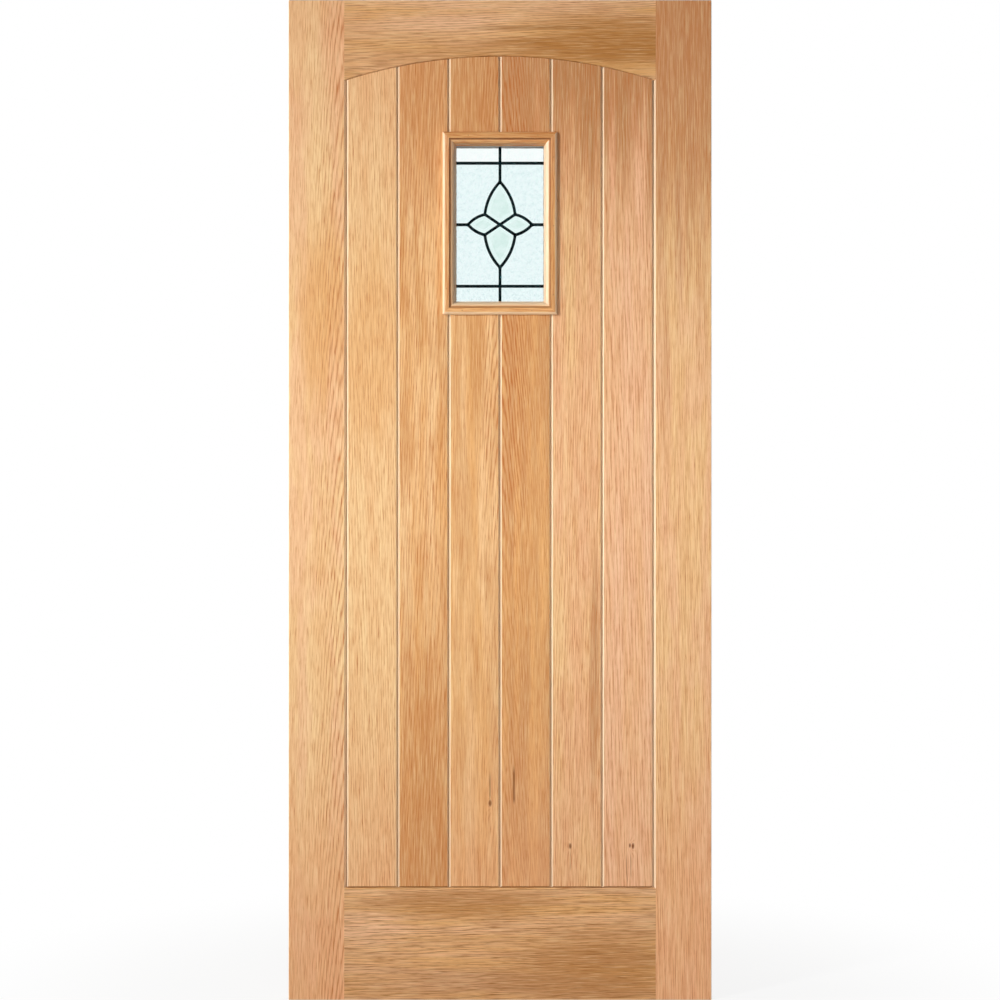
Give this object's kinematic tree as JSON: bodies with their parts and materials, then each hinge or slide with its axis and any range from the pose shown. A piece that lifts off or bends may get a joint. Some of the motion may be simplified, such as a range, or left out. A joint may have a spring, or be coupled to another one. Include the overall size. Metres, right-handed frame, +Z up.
{
  "type": "arched wooden door",
  "caption": "Oak door leaf with an arched top rail, stiles and V-jointed boards, and a small leaded window in a mitred moulding.",
  "frame": {"origin": "middle of the leaf's bottom edge, on the plane half-way through its thickness", "axes": "+Z up the leaf, +X from the left stile to the right stile as seen in the picture, -Y out of the front face"},
  "size_m": [0.838, 0.062, 1.981],
  "materials": {
    "oak_stiles": "planed oak under a clear satin oil",
    "oak_rails": "planed oak under a clear satin oil",
    "oak_boards": "planed oak under a clear satin oil",
    "oak_moulding": "moulded oak under a clear satin oil",
    "beech_dowels": "turned beech, glued",
    "softwood_trimmers": "planed softwood, glued",
    "foam_core": "rigid insulating foam",
    "steel_pins": "bright drawn wire",
    "clear_glass": "clear float glass",
    "textured_glass": "glass with a fine stippled texture",
    "bevelled_glass": "clear glass with polished bevels",
    "lead": "dark patinated lead",
    "spacer_bar": "dark warm-edge spacer",
    "edge_seal": "black sealant",
    "glazing_tape": "white closed-cell foam tape",
    "block_plastic": "grey plastic packers"
  },
  "bodies": {
    "root": {"back_board_1": "oak_boards", "back_board_2": "oak_boards", "back_board_3_lower": "oak_boards", "back_board_3_upper": "oak_boards", "back_board_4_lower": "oak_boards", "back_board_4_upper": "oak_boards", "back_board_5": "oak_boards", "back_board_6": "oak_boards", "back_glazing_tape": "glazing_tape", "back_head_moulding": "oak_moulding", "back_left_moulding": "oak_moulding", "back_moulding_pins": "steel_pins", "back_right_moulding": "oak_moulding", "back_sill_moulding": "oak_moulding", "bevel_bottom": "bevelled_glass", "bevel_left": "bevelled_glass", "bevel_right": "bevelled_glass", "bevel_top": "bevelled_glass", "bottom_rail": "oak_rails", "bottom_rail_dowels": "beech_dowels", "core_panel": "foam_core", "front_board_1": "oak_boards", "front_board_2": "oak_boards", "front_board_3_lower": "oak_boards", "front_board_3_upper": "oak_boards", "front_board_4_lower": "oak_boards", "front_board_4_upper": "oak_boards", "front_board_5": "oak_boards", "front_board_6": "oak_boards", "front_glazing_tape": "glazing_tape", "front_head_moulding": "oak_moulding", "front_left_moulding": "oak_moulding", "front_moulding_pins": "steel_pins", "front_right_moulding": "oak_moulding", "front_sill_moulding": "oak_moulding", "head_trimmer": "softwood_trimmers", "hinge_stile": "oak_stiles", "inner_pane": "clear_glass", "inner_spacer": "spacer_bar", "lead_cames": "lead", "left_trimmer": "softwood_trimmers", "lock_stile": "oak_stiles", "lower_left_border_light": "textured_glass", "lower_left_field_light": "textured_glass", "lower_right_border_light": "textured_glass", "lower_right_field_light": "textured_glass", "outer_pane": "clear_glass", "outer_spacer": "spacer_bar", "right_trimmer": "softwood_trimmers", "setting_blocks": "block_plastic", "sill_trimmer": "softwood_trimmers", "top_rail": "oak_rails", "top_rail_dowels": "beech_dowels", "unit_edge_seal": "edge_seal", "upper_left_border_light": "textured_glass", "upper_left_field_light": "textured_glass", "upper_right_border_light": "textured_glass", "upper_right_field_light": "textured_glass"}
  },
  "joints": []
}
